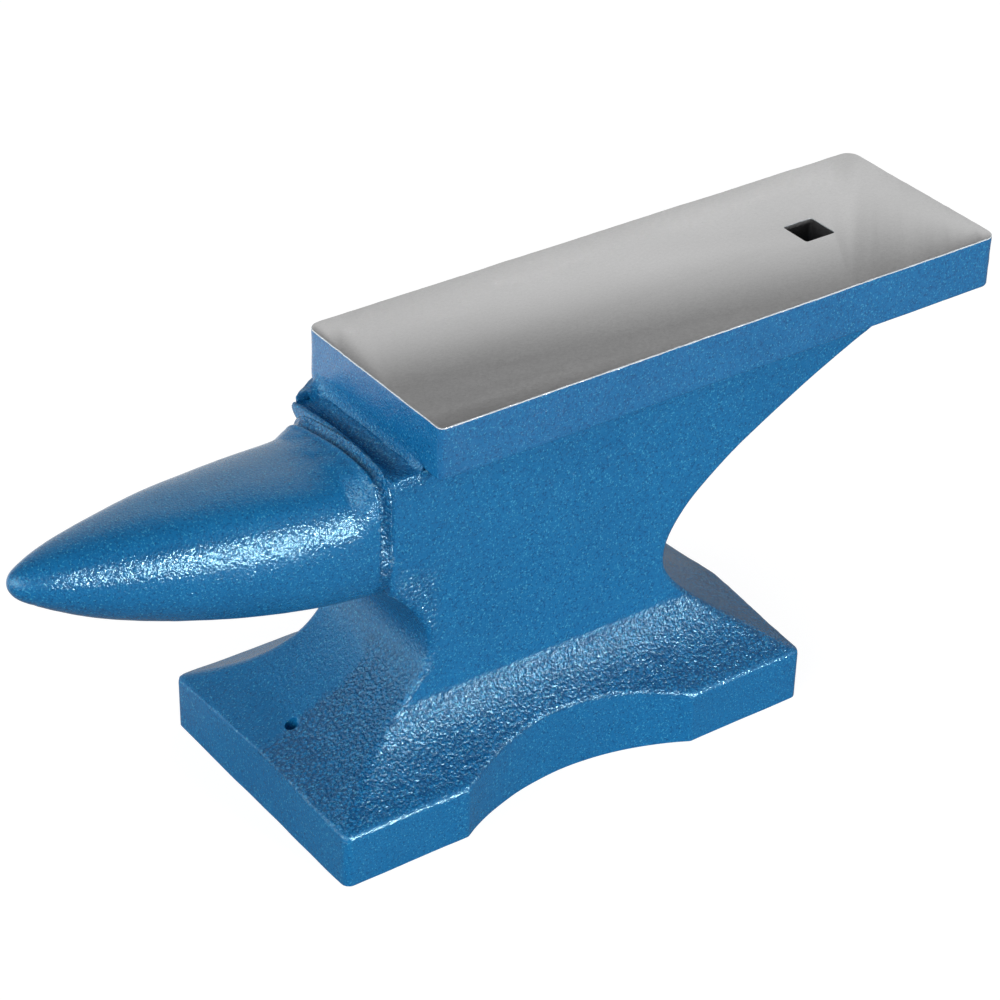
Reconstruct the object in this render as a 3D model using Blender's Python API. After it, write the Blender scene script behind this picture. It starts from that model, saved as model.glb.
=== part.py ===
# Single-horn anvil: a cast body on a waisted foot, a horn let into the body's front, and a ground face plate.
# Metres, +Z up. Origin: centre of the foot's underside. The horn points along -X, the heel along +X.
# Symmetric about the plane Y = 0 but for one plate corner and the front end of one side bead.
import math

import bpy
import bmesh
from mathutils import Vector

MM = 0.001
GAP = 0.3 * MM                      # clearance between neighbouring pieces

# foot
FOOT_HALF_X = 124.5 * MM            # corner to corner 249
FOOT_HALF_Y = 70.6 * MM
FOOT_EDGE_Z = 25.8 * MM             # height of the foot's side walls at the corners
FOOT_PEAK = 6.2 * MM                # the heel end of the foot is a shallow V that peaks on the centre plane
FOOT_CROWN = 3.0 * MM               # the horn end wall is taller on the centre plane
FOOT_CORNER_R = 4.0 * MM
FOOT_EDGE_R = 1.1 * MM
ARCH_R = 125.5 * MM                 # side arches between the feet
ARCH_DEPTH = 16.0 * MM

# waist
WAIST_HALF_Y = 38.4 * MM
WAIST_CORNER_R = 3.0 * MM
WAIST_X_HORN = -60.8 * MM           # narrowest point under the horn
WAIST_X_HEEL = 67.2 * MM            # narrowest point under the heel
FLARE_TOP_SIDE = 57.5 * MM          # where the side flares run out into the flat sides
FLARE_TOP_HORN = 81.0 * MM
FLARE_TOP_HEEL = 77.5 * MM
FLARE_POW_SIDE = 2.15
FLARE_POW_HORN = 1.85
FLARE_POW_HEEL = 1.55
RIDGE = 1.4 * MM                    # moulding ridge down the middle of the horn end

# upper body
BODY_TOP = 173.0 * MM
FRONT_X = -81.0 * MM                # flat front that the horn sits against
THROAT_TOP = 114.2 * MM             # lower corner of the flat front at the sides
THROAT_POW = 1.9
WEB_A = 3.92                        # heel web: x = waist + A s^2 / (C + s), s = height above the waist
WEB_C = 148.0 * MM
WEB_Z0 = 81.4 * MM
DISH_R = 13.0 * MM                  # cross channel in the table, in front of the plate
DISH_DEPTH = 2.2 * MM
DISH_X = -74.6 * MM

# face plate
PLATE_X0 = -65.5 * MM
PLATE_X1 = 239.7 * MM
PLATE_HALF_Y = 51.0 * MM
PLATE_Z0 = BODY_TOP + GAP
PLATE_TOP = 198.4 * MM
PLATE_CORNER_R = 6.5 * MM
PLATE_NEAR_R = 3.0 * MM
PLATE_EDGE_R = 0.9 * MM
PLATE_FOOT_R = 1.0 * MM

# openings
HARDY_SIDE = 17.0 * MM
HARDY_X = 171.0 * MM
HARDY_R = 1.4 * MM
SPIKE_HOLE_R = 3.5 * MM
SPIKE_HOLE_X = -106.7 * MM

# horn
HORN_TIP_X = -236.6 * MM
HORN_NOSE = 1.3 * MM                # how quickly the blunt nose closes
HORN_LIP_X = -85.6 * MM             # where the full section ends
HORN_ROOT_HALF_Y = 37.7 * MM
HORN_ROOT_FLAT = 1.24               # width over height of the root section
HORN_ROOT_POW = 3.0                 # the root section is a rounded square below, the nose is round
HORN_COLLAR_POW = 5.0               # the top of the root squares up into a flat collar
HORN_COLLAR = 7.5 * MM              # length over which it does
HORN_FLARE = 5.0 * MM               # the top rises in a hollow curve to the collar
HORN_FLARE_LEN = 14.0 * MM
HORN_POW_A = 1.60
HORN_POW_B = 0.638
HORN_TIP_Z = 157.2 * MM
HORN_SLOPE = -0.185
HORN_CURVE = 0.33                   # per metre: the axis rises towards the nose
HORN_AHEAD = 2.6 * MM               # the bullet curve would come to a point this far ahead of the nose
TENON_R = 16.0 * MM
TENON_LEN = 20.0 * MM
REBATE = 2.6 * MM                   # step round the horn's root that the bead fills

# beads
BEAD_LEG = 5.0 * MM
FRONT_BEAD_LEG = 3.2 * MM
FRONT_BEAD_HIGH = 7.0 * MM
FAR_FLARE = 10.5 * MM               # how far the far bead stands out at the plate's front corner
FAR_FLARE_LEN = 16.0 * MM

BLUE = (0.020, 0.162, 0.402, 1.0)
STEEL = (0.36, 0.36, 0.355, 1.0)


def clear_scene():
    for ob in list(bpy.data.objects):
        bpy.data.objects.remove(ob, do_unlink=True)


def material(name, colour, metallic, roughness):
    mat = bpy.data.materials.new(name)
    mat.use_nodes = True
    bsdf = mat.node_tree.nodes["Principled BSDF"]
    bsdf.inputs["Base Color"].default_value = colour
    bsdf.inputs["Metallic"].default_value = metallic
    bsdf.inputs["Roughness"].default_value = roughness
    return mat


def new_object(name, bm, mat=None, sharp=math.radians(32)):
    bmesh.ops.remove_doubles(bm, verts=bm.verts, dist=1e-6)
    bmesh.ops.recalc_face_normals(bm, faces=bm.faces)
    mesh = bpy.data.meshes.new(name)
    bm.to_mesh(mesh)
    bm.free()
    ob = bpy.data.objects.new(name, mesh)
    bpy.context.scene.collection.objects.link(ob)
    if mat is not None:
        mesh.materials.append(mat)
        mesh.shade_smooth()
        mesh.set_sharp_from_angle(angle=sharp)
    return ob


def skin(rings, cap_start=True, cap_end=True, closed_path=False):
    """Skin a list of rings, each a closed list of points with the same count."""
    bm = bmesh.new()
    loops = [[bm.verts.new(p) for p in ring] for ring in rings]
    n = len(loops[0])
    pairs = list(zip(loops, loops[1:]))
    if closed_path:
        pairs.append((loops[-1], loops[0]))
    for a, b in pairs:
        for j in range(n):
            i = (j + 1) % n
            bm.faces.new((a[j], a[i], b[i], b[j]))
    if not closed_path:
        if cap_start:
            bm.faces.new(list(reversed(loops[0])))
        if cap_end:
            bm.faces.new(loops[-1])
    return bm


def cutter(name, bm):
    ob = new_object(name, bm)
    ob.hide_render = True
    ob.display_type = "WIRE"
    return ob


def cut(ob, tool):
    mod = ob.modifiers.new("cut_" + tool.name, "BOOLEAN")
    mod.operation = "DIFFERENCE"
    mod.solver = "EXACT"
    mod.object = tool


def cylinder(radius, p0, p1, segments):
    axis = p1 - p0
    side = axis.orthogonal().normalized() * radius
    up = axis.normalized().cross(side)
    rings = []
    for p in (p0, p1):
        rings.append([p + side * math.cos(2 * math.pi * k / segments) + up * math.sin(2 * math.pi * k / segments)
                      for k in range(segments)])
    return skin(rings)


def rounded_rect(x0, x1, y0, y1, radii, z, steps):
    """Counter-clockwise from above; radii for the corners (x1,y0), (x1,y1), (x0,y1), (x0,y0)."""
    pts = []
    corners = ((x1, y0, -90), (x1, y1, 0), (x0, y1, 90), (x0, y0, 180))
    for (cx, cy, a0), r in zip(corners, radii):
        mx = cx - r if cx == x1 else cx + r
        my = cy - r if cy == y1 else cy + r
        for k in range(steps + 1):
            a = math.radians(a0 + 90 * k / steps)
            pts.append(Vector((mx + r * math.cos(a), my + r * math.sin(a), z)))
    return pts


# ---------------------------------------------------------------- horn section, used by the body's front too

def horn_axis(s):
    return HORN_TIP_Z + HORN_SLOPE * s + HORN_CURVE * s * s


HORN_LEN = HORN_LIP_X - HORN_TIP_X
ROOT_Z = horn_axis(HORN_LEN)
ROOT_HALF_Z = HORN_ROOT_HALF_Y / HORN_ROOT_FLAT


def oval_point(half_y, half_z, powers, cz, x, a, grow=0.0, lift=0.0):
    """Point at angle a of a section across X: a superellipse from round (power 2) to a rounded square,
    with its own power above and below its middle. The upper half is taller by lift."""
    c, s = math.cos(a), math.sin(a)
    power = powers[0] if s > 0 else powers[1]
    m = (abs(c) ** power + abs(s) ** power) ** (-1.0 / power)
    high = half_z + grow + (lift if s > 0 else 0.0)
    return Vector((x, (half_y + grow) * c * m, cz + high * s * m))


def oval(half_y, half_z, powers, cz, x, count, grow=0.0, lift=0.0):
    return [oval_point(half_y, half_z, powers, cz, x, 2 * math.pi * k / count, grow, lift) for k in range(count)]


def horn_flare(s):
    return HORN_FLARE * max(0.0, (s - HORN_LEN + HORN_FLARE_LEN) / HORN_FLARE_LEN) ** 2.2


def horn_powers(s):
    t = s / HORN_LEN
    b = max(0.0, min(1.0, (s - HORN_LEN + HORN_COLLAR) / HORN_COLLAR))
    b = b * b * (3 - 2 * b)
    low = 2 + (HORN_ROOT_POW - 2) * t
    return low + (HORN_COLLAR_POW - HORN_ROOT_POW) * b, low


def horn_half(s):
    """Half width at distance s behind the nose: a bullet curve, closed by a ball."""
    t = (s + HORN_AHEAD) / (HORN_LEN + HORN_AHEAD)
    bullet = HORN_ROOT_HALF_Y * (1 - (1 - t) ** HORN_POW_A) ** HORN_POW_B
    return bullet * math.sqrt(1 - math.exp(-s / HORN_NOSE))


def horn_underside(y):
    f = min(1.0, abs(y) / HORN_ROOT_HALF_Y)
    return ROOT_Z - ROOT_HALF_Z * (1 - f ** HORN_ROOT_POW) ** (1 / HORN_ROOT_POW)


# ---------------------------------------------------------------- body

FRONT_STEPS = 10
HEEL_STEPS = 4
CORNER_STEPS = 3


def side_half(z):
    if z >= FLARE_TOP_SIDE:
        return WAIST_HALF_Y
    t = (FLARE_TOP_SIDE - z) / (FLARE_TOP_SIDE - FOOT_EDGE_Z)
    return WAIST_HALF_Y + (FOOT_HALF_Y - WAIST_HALF_Y) * min(1.0, t) ** FLARE_POW_SIDE


def horn_end(z):
    if z >= FLARE_TOP_HORN:
        return WAIST_X_HORN
    t = (FLARE_TOP_HORN - z) / (FLARE_TOP_HORN - FOOT_EDGE_Z)
    return WAIST_X_HORN - (WAIST_X_HORN + FOOT_HALF_X) * min(1.0, t) ** FLARE_POW_HORN


def heel_end(z):
    if z < FLARE_TOP_HEEL:
        t = (FLARE_TOP_HEEL - z) / (FLARE_TOP_HEEL - FOOT_EDGE_Z)
        return WAIST_X_HEEL + (FOOT_HALF_X - WAIST_X_HEEL) * min(1.0, t) ** FLARE_POW_HEEL
    s = max(0.0, z - WEB_Z0)
    return WAIST_X_HEEL + WEB_A * s * s / (WEB_C + s)


def body_ring(half_y, front, heel, corner):
    """front(v) and heel(v) give (x, z) across the two ends, v from -1 (near) to 1 (far)."""
    inner = half_y - corner
    pts = []
    for k in range(CORNER_STEPS):                                   # near corner of the horn end
        a = math.radians(180 + 90 * k / CORNER_STEPS)
        x, z = front(-1)
        pts.append(Vector((x + corner + corner * math.cos(a), -inner + corner * math.sin(a), z)))
    x, z = front(-1)
    pts.append(Vector((x + corner, -half_y, z)))
    for k in range(CORNER_STEPS):                                   # near corner of the heel end
        a = math.radians(270 + 90 * k / CORNER_STEPS)
        x, z = heel(-1)
        pts.append(Vector((x - corner + corner * math.cos(a), -inner + corner * math.sin(a), z)))
    for k in range(HEEL_STEPS + 1):
        v = -1 + 2 * k / HEEL_STEPS
        x, z = heel(v)
        pts.append(Vector((x, v * inner, z)))
    for k in range(1, CORNER_STEPS + 1):
        a = math.radians(90 * k / CORNER_STEPS)
        x, z = heel(1)
        pts.append(Vector((x - corner + corner * math.cos(a), inner + corner * math.sin(a), z)))
    for k in range(CORNER_STEPS):
        a = math.radians(90 + 90 * k / CORNER_STEPS)
        x, z = front(1)
        pts.append(Vector((x + corner + corner * math.cos(a), inner + corner * math.sin(a), z)))
    for k in range(FRONT_STEPS):
        v = 1 - 2 * k / FRONT_STEPS
        x, z = front(v)
        pts.append(Vector((x, v * inner, z)))
    return pts


def tent(v):
    return 1 - abs(v) ** 1.25


def peak(v):
    return 1 - abs(v)


def body_rings():
    rings = []
    # foot walls, with softened lower and upper edges
    for z, inset, crown in ((0.0, FOOT_EDGE_R, 0.0), (FOOT_EDGE_R * 0.3, FOOT_EDGE_R * 0.3, 0.0), (FOOT_EDGE_R, 0.0, 0.0),
                            (FOOT_EDGE_Z - FOOT_EDGE_R, 0.0, 1.0), (FOOT_EDGE_Z - FOOT_EDGE_R * 0.3, FOOT_EDGE_R * 0.3, 1.0),
                            (FOOT_EDGE_Z, FOOT_EDGE_R, 1.0)):
        rings.append(body_ring(
            FOOT_HALF_Y - inset,
            lambda v, z=z, i=inset, c=crown: (-FOOT_HALF_X + i, z + c * FOOT_CROWN * peak(v)),
            lambda v, z=z, i=inset: (FOOT_HALF_X - i + FOOT_PEAK * peak(v), z),
            FOOT_CORNER_R - inset))
    # flares up to the end of the side flares
    count = 10
    for k in range(1, count + 1):
        f = (k / count) ** 1.35
        z = FOOT_EDGE_Z + (FLARE_TOP_SIDE - FOOT_EDGE_Z) * f
        corner = WAIST_CORNER_R + (FOOT_CORNER_R - WAIST_CORNER_R) * (1 - f)
        dip = FOOT_CROWN * max(0.0, 1 - 3 * f)
        rings.append(body_ring(
            side_half(z),
            lambda v, z=z, d=dip: (horn_end(z) - RIDGE * tent(v), z + d * peak(v)),
            lambda v, z=z, f=f: (heel_end(z) + FOOT_PEAK * (1 - 0.45 * f) * peak(v), z),
            corner))
    # end flares up to the waist
    count = 4
    for k in range(1, count + 1):
        z = FLARE_TOP_SIDE + (FLARE_TOP_HORN - FLARE_TOP_SIDE) * k / count
        rings.append(body_ring(
            WAIST_HALF_Y,
            lambda v, z=z: (horn_end(z) - RIDGE * tent(v), z),
            lambda v, z=z, k=k: (heel_end(z) + FOOT_PEAK * (0.55 - 0.07 * k) * peak(v), z),
            WAIST_CORNER_R))
    # throat under the horn
    inner = WAIST_HALF_Y - WAIST_CORNER_R

    def throat_top(v):
        return min(THROAT_TOP, horn_underside(v * inner) - 1.0 * MM)

    count = 8
    for k in range(1, count + 1):
        s = k / count
        side_z = FLARE_TOP_HORN + (THROAT_TOP - FLARE_TOP_HORN) * s

        def front(v, s=s):
            z = FLARE_TOP_HORN + (throat_top(v) - FLARE_TOP_HORN) * s
            reach = s ** THROAT_POW
            x = WAIST_X_HORN + (FRONT_X - WAIST_X_HORN) * reach - RIDGE * tent(v) * (1 - reach)
            return x, z

        rings.append(body_ring(
            WAIST_HALF_Y, front,
            lambda v, z=side_z, s=s: (heel_end(z) + FOOT_PEAK * 0.27 * (1 - s) * peak(v), z),
            WAIST_CORNER_R))
    # flat front, and the web that carries the heel
    count = 9
    for k in range(1, count + 1):
        s = k / count
        side_z = THROAT_TOP + (BODY_TOP - THROAT_TOP) * s

        def front(v, s=s):
            return FRONT_X, throat_top(v) + (BODY_TOP - throat_top(v)) * s

        rings.append(body_ring(WAIST_HALF_Y, front, lambda v, z=side_z: (heel_end(z), z), WAIST_CORNER_R))
    return rings


def build_body(mat):
    body = new_object("body_casting", skin(body_rings()), mat)
    for name, sign in (("arch_left", -1), ("arch_right", 1)):
        y = sign * (FOOT_HALF_Y - ARCH_DEPTH + ARCH_R)
        cut(body, cutter(name + "_cutter", cylinder(ARCH_R, Vector((0, y, -5 * MM)), Vector((0, y, 60 * MM)), 112)))
    z = BODY_TOP - DISH_DEPTH + DISH_R
    cut(body, cutter("table_channel_cutter",
                     cylinder(DISH_R, Vector((DISH_X, -60 * MM, z)), Vector((DISH_X, 60 * MM, z)), 56)))
    cut(body, cutter("socket_cutter",
                     cylinder(TENON_R + GAP, Vector((FRONT_X - 6 * MM, 0, ROOT_Z)),
                              Vector((FRONT_X + TENON_LEN + 1.0 * MM, 0, ROOT_Z)), 40)))
    cut(body, cutter("spike_hole_cutter",
                     cylinder(SPIKE_HOLE_R, Vector((SPIKE_HOLE_X, 0, -5 * MM)), Vector((SPIKE_HOLE_X, 0, 70 * MM)), 24)))
    cut(body, hardy_cutter("hardy_hole_body_cutter", 100 * MM, BODY_TOP + 10 * MM))
    return body


def hardy_cutter(name, z0, z1):
    h = HARDY_SIDE / 2
    rings = [rounded_rect(HARDY_X - h, HARDY_X + h, -h, h, (HARDY_R,) * 4, z, 3) for z in (z0, z1)]
    return cutter(name, skin(rings))


# ---------------------------------------------------------------- face plate

def build_plate(mat_paint, mat_steel):
    radii = (PLATE_CORNER_R, PLATE_CORNER_R, PLATE_CORNER_R, PLATE_NEAR_R)
    rings = []
    levels = ((PLATE_Z0, PLATE_FOOT_R), (PLATE_Z0 + PLATE_FOOT_R * 0.3, PLATE_FOOT_R * 0.3),
              (PLATE_Z0 + PLATE_FOOT_R, 0.0), (PLATE_TOP - PLATE_EDGE_R, 0.0), (PLATE_TOP, PLATE_EDGE_R))
    for z, inset in levels:
        rings.append(rounded_rect(PLATE_X0 + inset, PLATE_X1 - inset, -PLATE_HALF_Y + inset, PLATE_HALF_Y - inset,
                                  tuple(r - inset * 0.6 for r in radii), z, 6))
    plate = new_object("face_plate", skin(rings), mat_paint)
    plate.data.materials.append(mat_steel)
    for face in plate.data.polygons:
        if face.normal.z > 0.9:
            face.material_index = 1
    cut(plate, hardy_cutter("hardy_hole_plate_cutter", PLATE_Z0 - 10 * MM, PLATE_TOP + 10 * MM))
    return plate


# ---------------------------------------------------------------- horn

def build_horn(mat):
    count = 44
    rings = []
    steps = 30
    for k in range(1, steps + 1):
        t = (k / steps) ** 2.0
        s = HORN_LEN * t
        half_y = horn_half(s)
        rings.append(oval(half_y, half_y / (1 + (HORN_ROOT_FLAT - 1) * t), horn_powers(s),
                          horn_axis(s), HORN_TIP_X + s, count, 0.0, horn_flare(s)))
    back = FRONT_X - GAP
    for x in (HORN_LIP_X, back):                                    # rebate for the bead
        rings.append(oval(HORN_ROOT_HALF_Y, ROOT_HALF_Z, horn_powers(HORN_LEN), ROOT_Z, x, count, -REBATE, HORN_FLARE))
    for x, r in ((back, TENON_R), (back + TENON_LEN - 1.5 * MM, TENON_R), (back + TENON_LEN, TENON_R - 1.5 * MM)):
        rings.append(oval(r, r, (2, 2), ROOT_Z, x, count))
    bm = bmesh.new()
    loops = [[bm.verts.new(p) for p in ring] for ring in rings]
    tip = bm.verts.new((HORN_TIP_X, 0, HORN_TIP_Z))
    for j in range(count):
        i = (j + 1) % count
        bm.faces.new((tip, loops[0][j], loops[0][i]))
        for a, b in zip(loops, loops[1:]):
            bm.faces.new((a[j], b[j], b[i], a[i]))
    bm.faces.new(loops[-1])
    return new_object("horn", bm, mat)


def build_horn_bead(mat):
    """Bead laid in the step round the horn's root, standing a little proud against the body's front on top."""
    count = 44
    x0, x1 = HORN_LIP_X + GAP, FRONT_X - GAP
    rings = []
    for k in range(count):
        a = 2 * math.pi * k / count
        lift = max(0.0, math.sin(a)) ** 2 * 0.9 * MM
        section = []
        for x, grow in ((x0, -REBATE + GAP), (x0, -0.2 * MM), (x0 * 0.6 + x1 * 0.4, 0.1 * MM + lift * 0.6),
                        (x1, -0.1 * MM + lift), (x1, -REBATE + GAP)):
            section.append(oval_point(HORN_ROOT_HALF_Y, ROOT_HALF_Z, horn_powers(HORN_LEN), ROOT_Z, x, a, grow,
                                      HORN_FLARE))
        rings.append(section)
    return new_object("horn_weld", skin(rings, closed_path=True), mat)


# ---------------------------------------------------------------- plate beads

def fillet_bead(name, mat, stations, out, up):
    """Concave fillet through stations (point, leg outwards, leg upwards)."""
    rings = []
    for p, leg_out, leg_up in stations:
        section = [p, p + out * leg_out]
        for j in range(1, 4):
            a = math.radians(90 * j / 4)
            section.append(p + out * leg_out * (1 - 0.88 * math.sin(a)) + up * leg_up * (1 - 0.88 * math.cos(a)))
        section.append(p + up * leg_up)
        rings.append(section)
    return new_object(name, skin(rings), mat)


def build_plate_beads(mat):
    y = WAIST_HALF_Y + GAP
    z = PLATE_Z0 - GAP
    down = Vector((0, 0, -1))
    end = 186.0 * MM
    near = [(Vector((x, -y, z)), BEAD_LEG, BEAD_LEG) for x in (PLATE_X0 + 1.5 * MM, 60 * MM, end)]
    # on the far side the bead runs on past the plate and widens the table out to the plate's corner
    far = []
    steps = 8
    for k in range(steps + 1):
        f = k / steps
        far.append((Vector((FRONT_X + 1.5 * MM + FAR_FLARE_LEN * f, y, z)),
                    0.8 * MM + (FAR_FLARE - 0.8 * MM) * f ** 1.1, 2.0 * MM + (BEAD_LEG - 2.0 * MM) * f))
    last = far[-1][0].x
    for f in (0.3, 0.65, 1.0):
        far.append((Vector((last + 18 * MM * f, y, z)), FAR_FLARE + (BEAD_LEG - FAR_FLARE) * f, BEAD_LEG))
    far.append((Vector((end, y, z)), BEAD_LEG, BEAD_LEG))
    fillet_bead("face_weld_left", mat, far, Vector((0, 1, 0)), down)
    fillet_bead("face_weld_right", mat, near, Vector((0, -1, 0)), down)
    half = WAIST_HALF_Y - WAIST_CORNER_R
    fillet_bead("face_weld_front", mat,
                [(Vector((PLATE_X0 - GAP, yy, BODY_TOP + GAP)), FRONT_BEAD_LEG, FRONT_BEAD_HIGH)
                 for yy in (-half, 0.0, half)],
                Vector((-1, 0, 0)), Vector((0, 0, 1)))


clear_scene()
paint = material("blue_enamel", BLUE, 0.0, 0.32)
paint_horn = material("blue_enamel_horn", BLUE, 0.0, 0.28)
paint_plate = material("blue_enamel_plate", BLUE, 0.0, 0.34)
bead_paint = material("blue_enamel_bead", (0.018, 0.145, 0.37, 1.0), 0.0, 0.42)
steel = material("ground_steel", STEEL, 1.0, 0.38)

frame_empty = bpy.data.objects.new("anvil", None)
bpy.context.scene.collection.objects.link(frame_empty)

build_body(paint)
build_plate(paint_plate, steel)
build_horn(paint_horn)
build_horn_bead(bead_paint)
build_plate_beads(bead_paint)
for piece in ("body_casting", "face_plate", "horn", "horn_weld", "face_weld_left", "face_weld_right", "face_weld_front"):
    bpy.data.objects[piece].parent = frame_empty
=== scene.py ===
# Looks of the single-horn anvil: cast, enamelled body and horn, ground steel face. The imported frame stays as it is.
import math

import bmesh
import bpy
import numpy as np
from mathutils import Matrix, Vector


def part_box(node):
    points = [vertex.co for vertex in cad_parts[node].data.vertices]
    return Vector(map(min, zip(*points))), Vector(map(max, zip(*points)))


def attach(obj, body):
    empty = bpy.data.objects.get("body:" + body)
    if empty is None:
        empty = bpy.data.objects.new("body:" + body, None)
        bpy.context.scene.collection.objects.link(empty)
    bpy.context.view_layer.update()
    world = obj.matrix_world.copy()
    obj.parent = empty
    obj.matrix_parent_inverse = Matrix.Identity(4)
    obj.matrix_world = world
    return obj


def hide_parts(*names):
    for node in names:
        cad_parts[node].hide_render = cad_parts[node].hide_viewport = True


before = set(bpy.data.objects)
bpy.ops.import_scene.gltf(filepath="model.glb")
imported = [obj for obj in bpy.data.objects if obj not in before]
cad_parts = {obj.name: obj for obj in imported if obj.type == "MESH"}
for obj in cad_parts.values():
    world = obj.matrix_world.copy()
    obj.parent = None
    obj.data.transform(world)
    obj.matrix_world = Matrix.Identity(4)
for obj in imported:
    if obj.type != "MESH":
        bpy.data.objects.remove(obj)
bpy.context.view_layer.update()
MM = 0.001

# ------------------------------------------------------------------ dimensions, partly from the imported frame

BODY_LO, BODY_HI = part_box("body_casting")
PLATE_LO, PLATE_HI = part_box("face_plate")
HORN_LO, HORN_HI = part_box("horn")
WELD_LO, WELD_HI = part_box("horn_weld")
NEAR_LO, NEAR_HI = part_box("face_weld_right")
FAR_LO, FAR_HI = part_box("face_weld_left")
FRONT_LO, FRONT_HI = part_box("face_weld_front")

FOOT_HALF_Y = BODY_HI.y
FOOT_HALF_X = -BODY_LO.x
BODY_TOP = BODY_HI.z
FOOT_EDGE_Z = 25.8 * MM
FOOT_PEAK = 6.2 * MM
FOOT_CROWN = 3.0 * MM
FOOT_CORNER_R = 4.0 * MM
FOOT_EDGE_R = 1.1 * MM
ARCH_R = 125.5 * MM
ARCH_DEPTH = 16.0 * MM
WAIST_HALF_Y = NEAR_HI.y * -1 - 0.3 * MM
WAIST_CORNER_R = 3.0 * MM
WAIST_X_HORN = -60.8 * MM
WAIST_X_HEEL = 67.2 * MM
FLARE_TOP_SIDE = 57.5 * MM
FLARE_TOP_HORN = 81.0 * MM
FLARE_TOP_HEEL = 77.5 * MM
RIDGE = 1.4 * MM
FRONT_X = WELD_HI.x + 0.3 * MM
THROAT_TOP = 114.2 * MM
WEB_A, WEB_C, WEB_Z0 = 3.92, 148.0 * MM, 81.4 * MM
DISH_R, DISH_DEPTH, DISH_X = 13.0 * MM, 2.2 * MM, -74.6 * MM
HARDY_SIDE, HARDY_R = 17.0 * MM, 1.4 * MM
HARDY_X = 171.0 * MM
SPIKE_HOLE_R, SPIKE_HOLE_X = 3.2 * MM, -106.7 * MM

HORN_TIP_X = HORN_LO.x
HORN_NOSE = 1.3 * MM
HORN_LIP_X = WELD_LO.x - 0.3 * MM
HORN_ROOT_HALF_Y = HORN_HI.y
HORN_ROOT_FLAT, HORN_ROOT_POW, HORN_COLLAR_POW, HORN_COLLAR = 1.24, 3.0, 5.6, 11.0 * MM
HORN_FLARE, HORN_FLARE_LEN = 6.6 * MM, 22.0 * MM
HORN_POW_A, HORN_POW_B, HORN_TIP_Z, HORN_SLOPE, HORN_CURVE, HORN_AHEAD = 1.60, 0.638, 157.2 * MM, -0.185, 0.33, 2.6 * MM
TENON_R, TENON_LEN, REBATE = 16.0 * MM, 20.0 * MM, 2.6 * MM


# ------------------------------------------------------------------ helpers

def smooth(t):
    t = np.clip(t, 0.0, 1.0)
    return t * t * (3 - 2 * t)


def band(v, a, b, c, d):
    """0 outside a..d, 1 between b and c."""
    return smooth((v - a) / (b - a)) * (1 - smooth((v - c) / (d - c)))


_rng = np.random.RandomState(7)
_perm = _rng.permutation(4096)
_val = _rng.uniform(-1, 1, 4096)


def vnoise(p, size, seed=0):
    """Smooth value noise, about -1 to 1, whose features are size metres across."""
    q = p / size + np.array([17.3, 5.1, 9.7]) * (seed + 1)
    i = np.floor(q).astype(np.int64)
    f = q - i
    f = f * f * f * (f * (f * 6 - 15) + 10)
    out = 0.0
    for dx in (0, 1):
        for dy in (0, 1):
            for dz in (0, 1):
                h = _perm[(i[:, 0] + dx + seed * 31) & 4095]
                h = _perm[(h + i[:, 1] + dy) & 4095]
                h = _perm[(h + i[:, 2] + dz) & 4095]
                w = ((f[:, 0] if dx else 1 - f[:, 0]) * (f[:, 1] if dy else 1 - f[:, 1])
                     * (f[:, 2] if dz else 1 - f[:, 2]))
                out = out + w * _val[h]
    return out


def mesh_object(name, bm=None, mesh=None):
    if mesh is None:
        bmesh.ops.remove_doubles(bm, verts=bm.verts, dist=1e-6)
        bmesh.ops.recalc_face_normals(bm, faces=bm.faces)
        mesh = bpy.data.meshes.new(name)
        bm.to_mesh(mesh)
        bm.free()
    ob = bpy.data.objects.new(name, mesh)
    bpy.context.scene.collection.objects.link(ob)
    return ob


def skin(rings, cap_start=True, cap_end=True, closed_path=False):
    bm = bmesh.new()
    loops = [[bm.verts.new(p) for p in ring] for ring in rings]
    n = len(loops[0])
    pairs = list(zip(loops, loops[1:]))
    if closed_path:
        pairs.append((loops[-1], loops[0]))
    for a, b in pairs:
        for j in range(n):
            i = (j + 1) % n
            bm.faces.new((a[j], a[i], b[i], b[j]))
    if not closed_path:
        if cap_start:
            bm.faces.new(list(reversed(loops[0])))
        if cap_end:
            bm.faces.new(loops[-1])
    return bm


def bake_modifiers(ob):
    dg = bpy.context.evaluated_depsgraph_get()
    mesh = bpy.data.meshes.new_from_object(ob.evaluated_get(dg), depsgraph=dg)
    ob.modifiers.clear()
    old = ob.data
    ob.data = mesh
    bpy.data.meshes.remove(old)
    return ob


def cut(ob, tools):
    for tool in tools:
        mod = ob.modifiers.new("cut", "BOOLEAN")
        mod.operation, mod.solver, mod.object = "DIFFERENCE", "EXACT", tool
    bake_modifiers(ob)
    for tool in tools:
        bpy.data.objects.remove(tool)


def voxel(ob, size):
    mod = ob.modifiers.new("remesh", "REMESH")
    mod.mode, mod.voxel_size, mod.adaptivity = "VOXEL", size, 0.0
    return bake_modifiers(ob)


def cylinder(radius, p0, p1, segments):
    axis = p1 - p0
    side = axis.orthogonal().normalized() * radius
    up = axis.normalized().cross(side)
    return mesh_object("cutter", skin([[p + side * math.cos(2 * math.pi * k / segments)
                                        + up * math.sin(2 * math.pi * k / segments)
                                        for k in range(segments)] for p in (p0, p1)]))


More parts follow.
